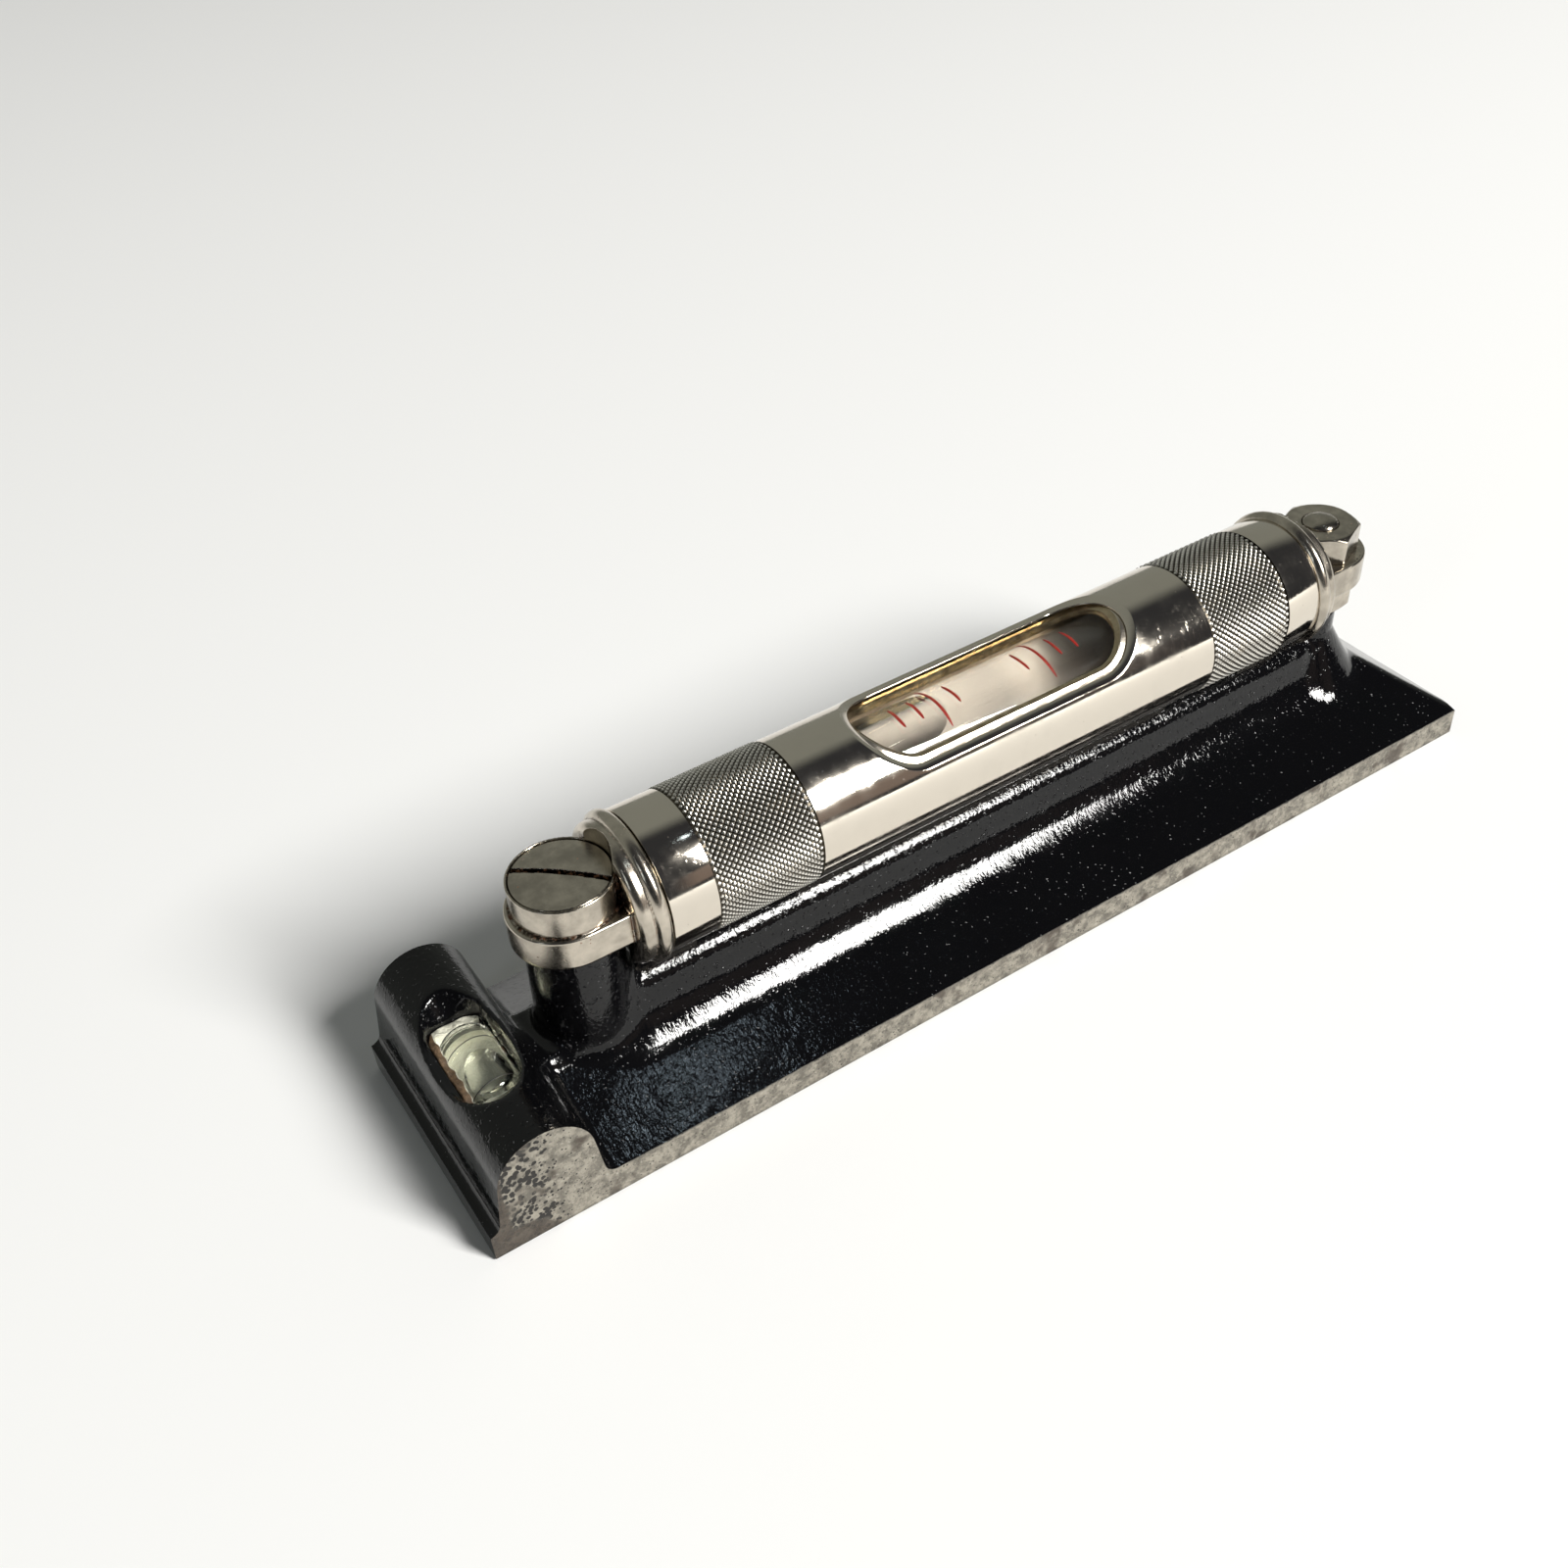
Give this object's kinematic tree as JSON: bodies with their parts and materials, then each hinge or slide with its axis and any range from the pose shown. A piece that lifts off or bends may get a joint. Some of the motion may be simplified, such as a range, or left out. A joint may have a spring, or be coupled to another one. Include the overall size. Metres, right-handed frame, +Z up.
{
  "type": "precision machinist level",
  "caption": "Machinist's precision level: cast base with ground foot, tubular main vial hinged and adjusted on posts under a turning windowed sleeve, and a cross vial in the end barrel.",
  "frame": {"origin": "centre of the base's foot", "axes": "+X along the base from the cross vial end to the adjusting end, +Z up"},
  "size_m": [0.1524, 0.0338, 0.0364],
  "materials": {
    "japanned_iron": "gloss black japan on the cast surfaces, ground iron left bare on foot and sides",
    "polished_nickel": "polished nickel plate, fine scratches, knurled bands",
    "tube_brass": "brass tube, worn nickel plate",
    "satin_nickel": "satin nickel with small rust specks",
    "fastener_steel": "turned steel, dulled nickel plate",
    "vial_glass": "clear ground vial glass",
    "vial_spirit": "clear, slightly yellow spirit with a bubble",
    "cream_backing": "aged cream backing strip",
    "vial_cement": "aged amber plaster cement"
  },
  "bodies": {
    "base": {"base_casting": "japanned_iron", "cross_vial_glass": "vial_glass", "cross_vial_spirit": "vial_spirit", "cross_vial_bedding": "vial_cement", "pivot_screw": "fastener_steel", "adjusting_stud": "fastener_steel"},
    "tube": {"vial_tube": "tube_brass", "pivot_end_cap": "satin_nickel", "adjusting_end_cap": "satin_nickel", "pivot_cap_pin": "satin_nickel", "adjusting_cap_pin": "satin_nickel", "main_vial_glass": "vial_glass", "main_vial_spirit": "vial_spirit", "main_vial_backing": "cream_backing", "pivot_side_bedding": "vial_cement", "adjusting_side_bedding": "vial_cement"},
    "sleeve": {"sleeve": "polished_nickel"},
    "upper_nut": {"upper_adjusting_nut": "fastener_steel"},
    "lower_nut": {"lower_adjusting_nut": "fastener_steel"}
  },
  "joints": [
    {"name": "tube_tilt", "type": "hinge", "parent": "base", "child": "tube", "pos_m": [-0.05436, 0, 0.0248], "axis": [0, -1, 0], "range_deg": [-0.2, 0.2]},
    {"name": "sleeve_turn", "type": "hinge", "parent": "tube", "child": "sleeve", "pos_m": [0, 0, 0.027], "axis": [1, 0, 0], "continuous": true},
    {"name": "upper_nut_travel", "type": "slide", "parent": "base", "child": "upper_nut", "axis": [0, 0, 1], "range_m": [-0.00041, 0.00041]},
    {"name": "lower_nut_travel", "type": "slide", "parent": "base", "child": "lower_nut", "axis": [0, 0, 1], "range_m": [-0.00041, 0.00041]}
  ],
  "couplings": [
    {"joint": "upper_nut_travel", "follows": "tube_tilt", "m_per_rad": 0.1156},
    {"joint": "lower_nut_travel", "follows": "tube_tilt", "m_per_rad": 0.1156}
  ]
}
